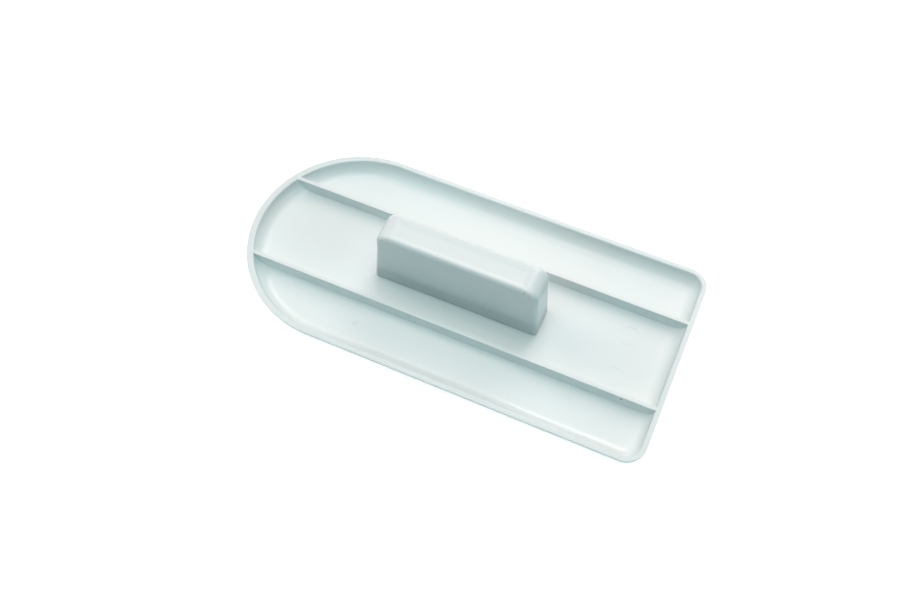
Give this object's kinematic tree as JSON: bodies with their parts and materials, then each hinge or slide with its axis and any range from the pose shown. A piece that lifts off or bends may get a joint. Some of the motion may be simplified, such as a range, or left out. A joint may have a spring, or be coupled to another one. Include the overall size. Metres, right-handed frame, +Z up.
{
  "type": "icing smoother",
  "caption": "White plastic icing smoother: a D-shaped plate with rolled-up edges and stiffening ribs, held by a block handle on its top.",
  "frame": {"origin": "centre of the flat face that glides over the icing, midway along the plate's length and width", "axes": "+X along the plate to its square end, +Y across the plate, +Z up out of the flat face towards the handle"},
  "size_m": [0.1632, 0.08, 0.0288],
  "materials": {
    "plate_plastic": "semi-gloss moulded white plastic",
    "handle_plastic": "semi-gloss moulded white plastic"
  },
  "bodies": {
    "root": {"smoothing_plate": "plate_plastic", "handle": "handle_plastic"}
  },
  "joints": []
}
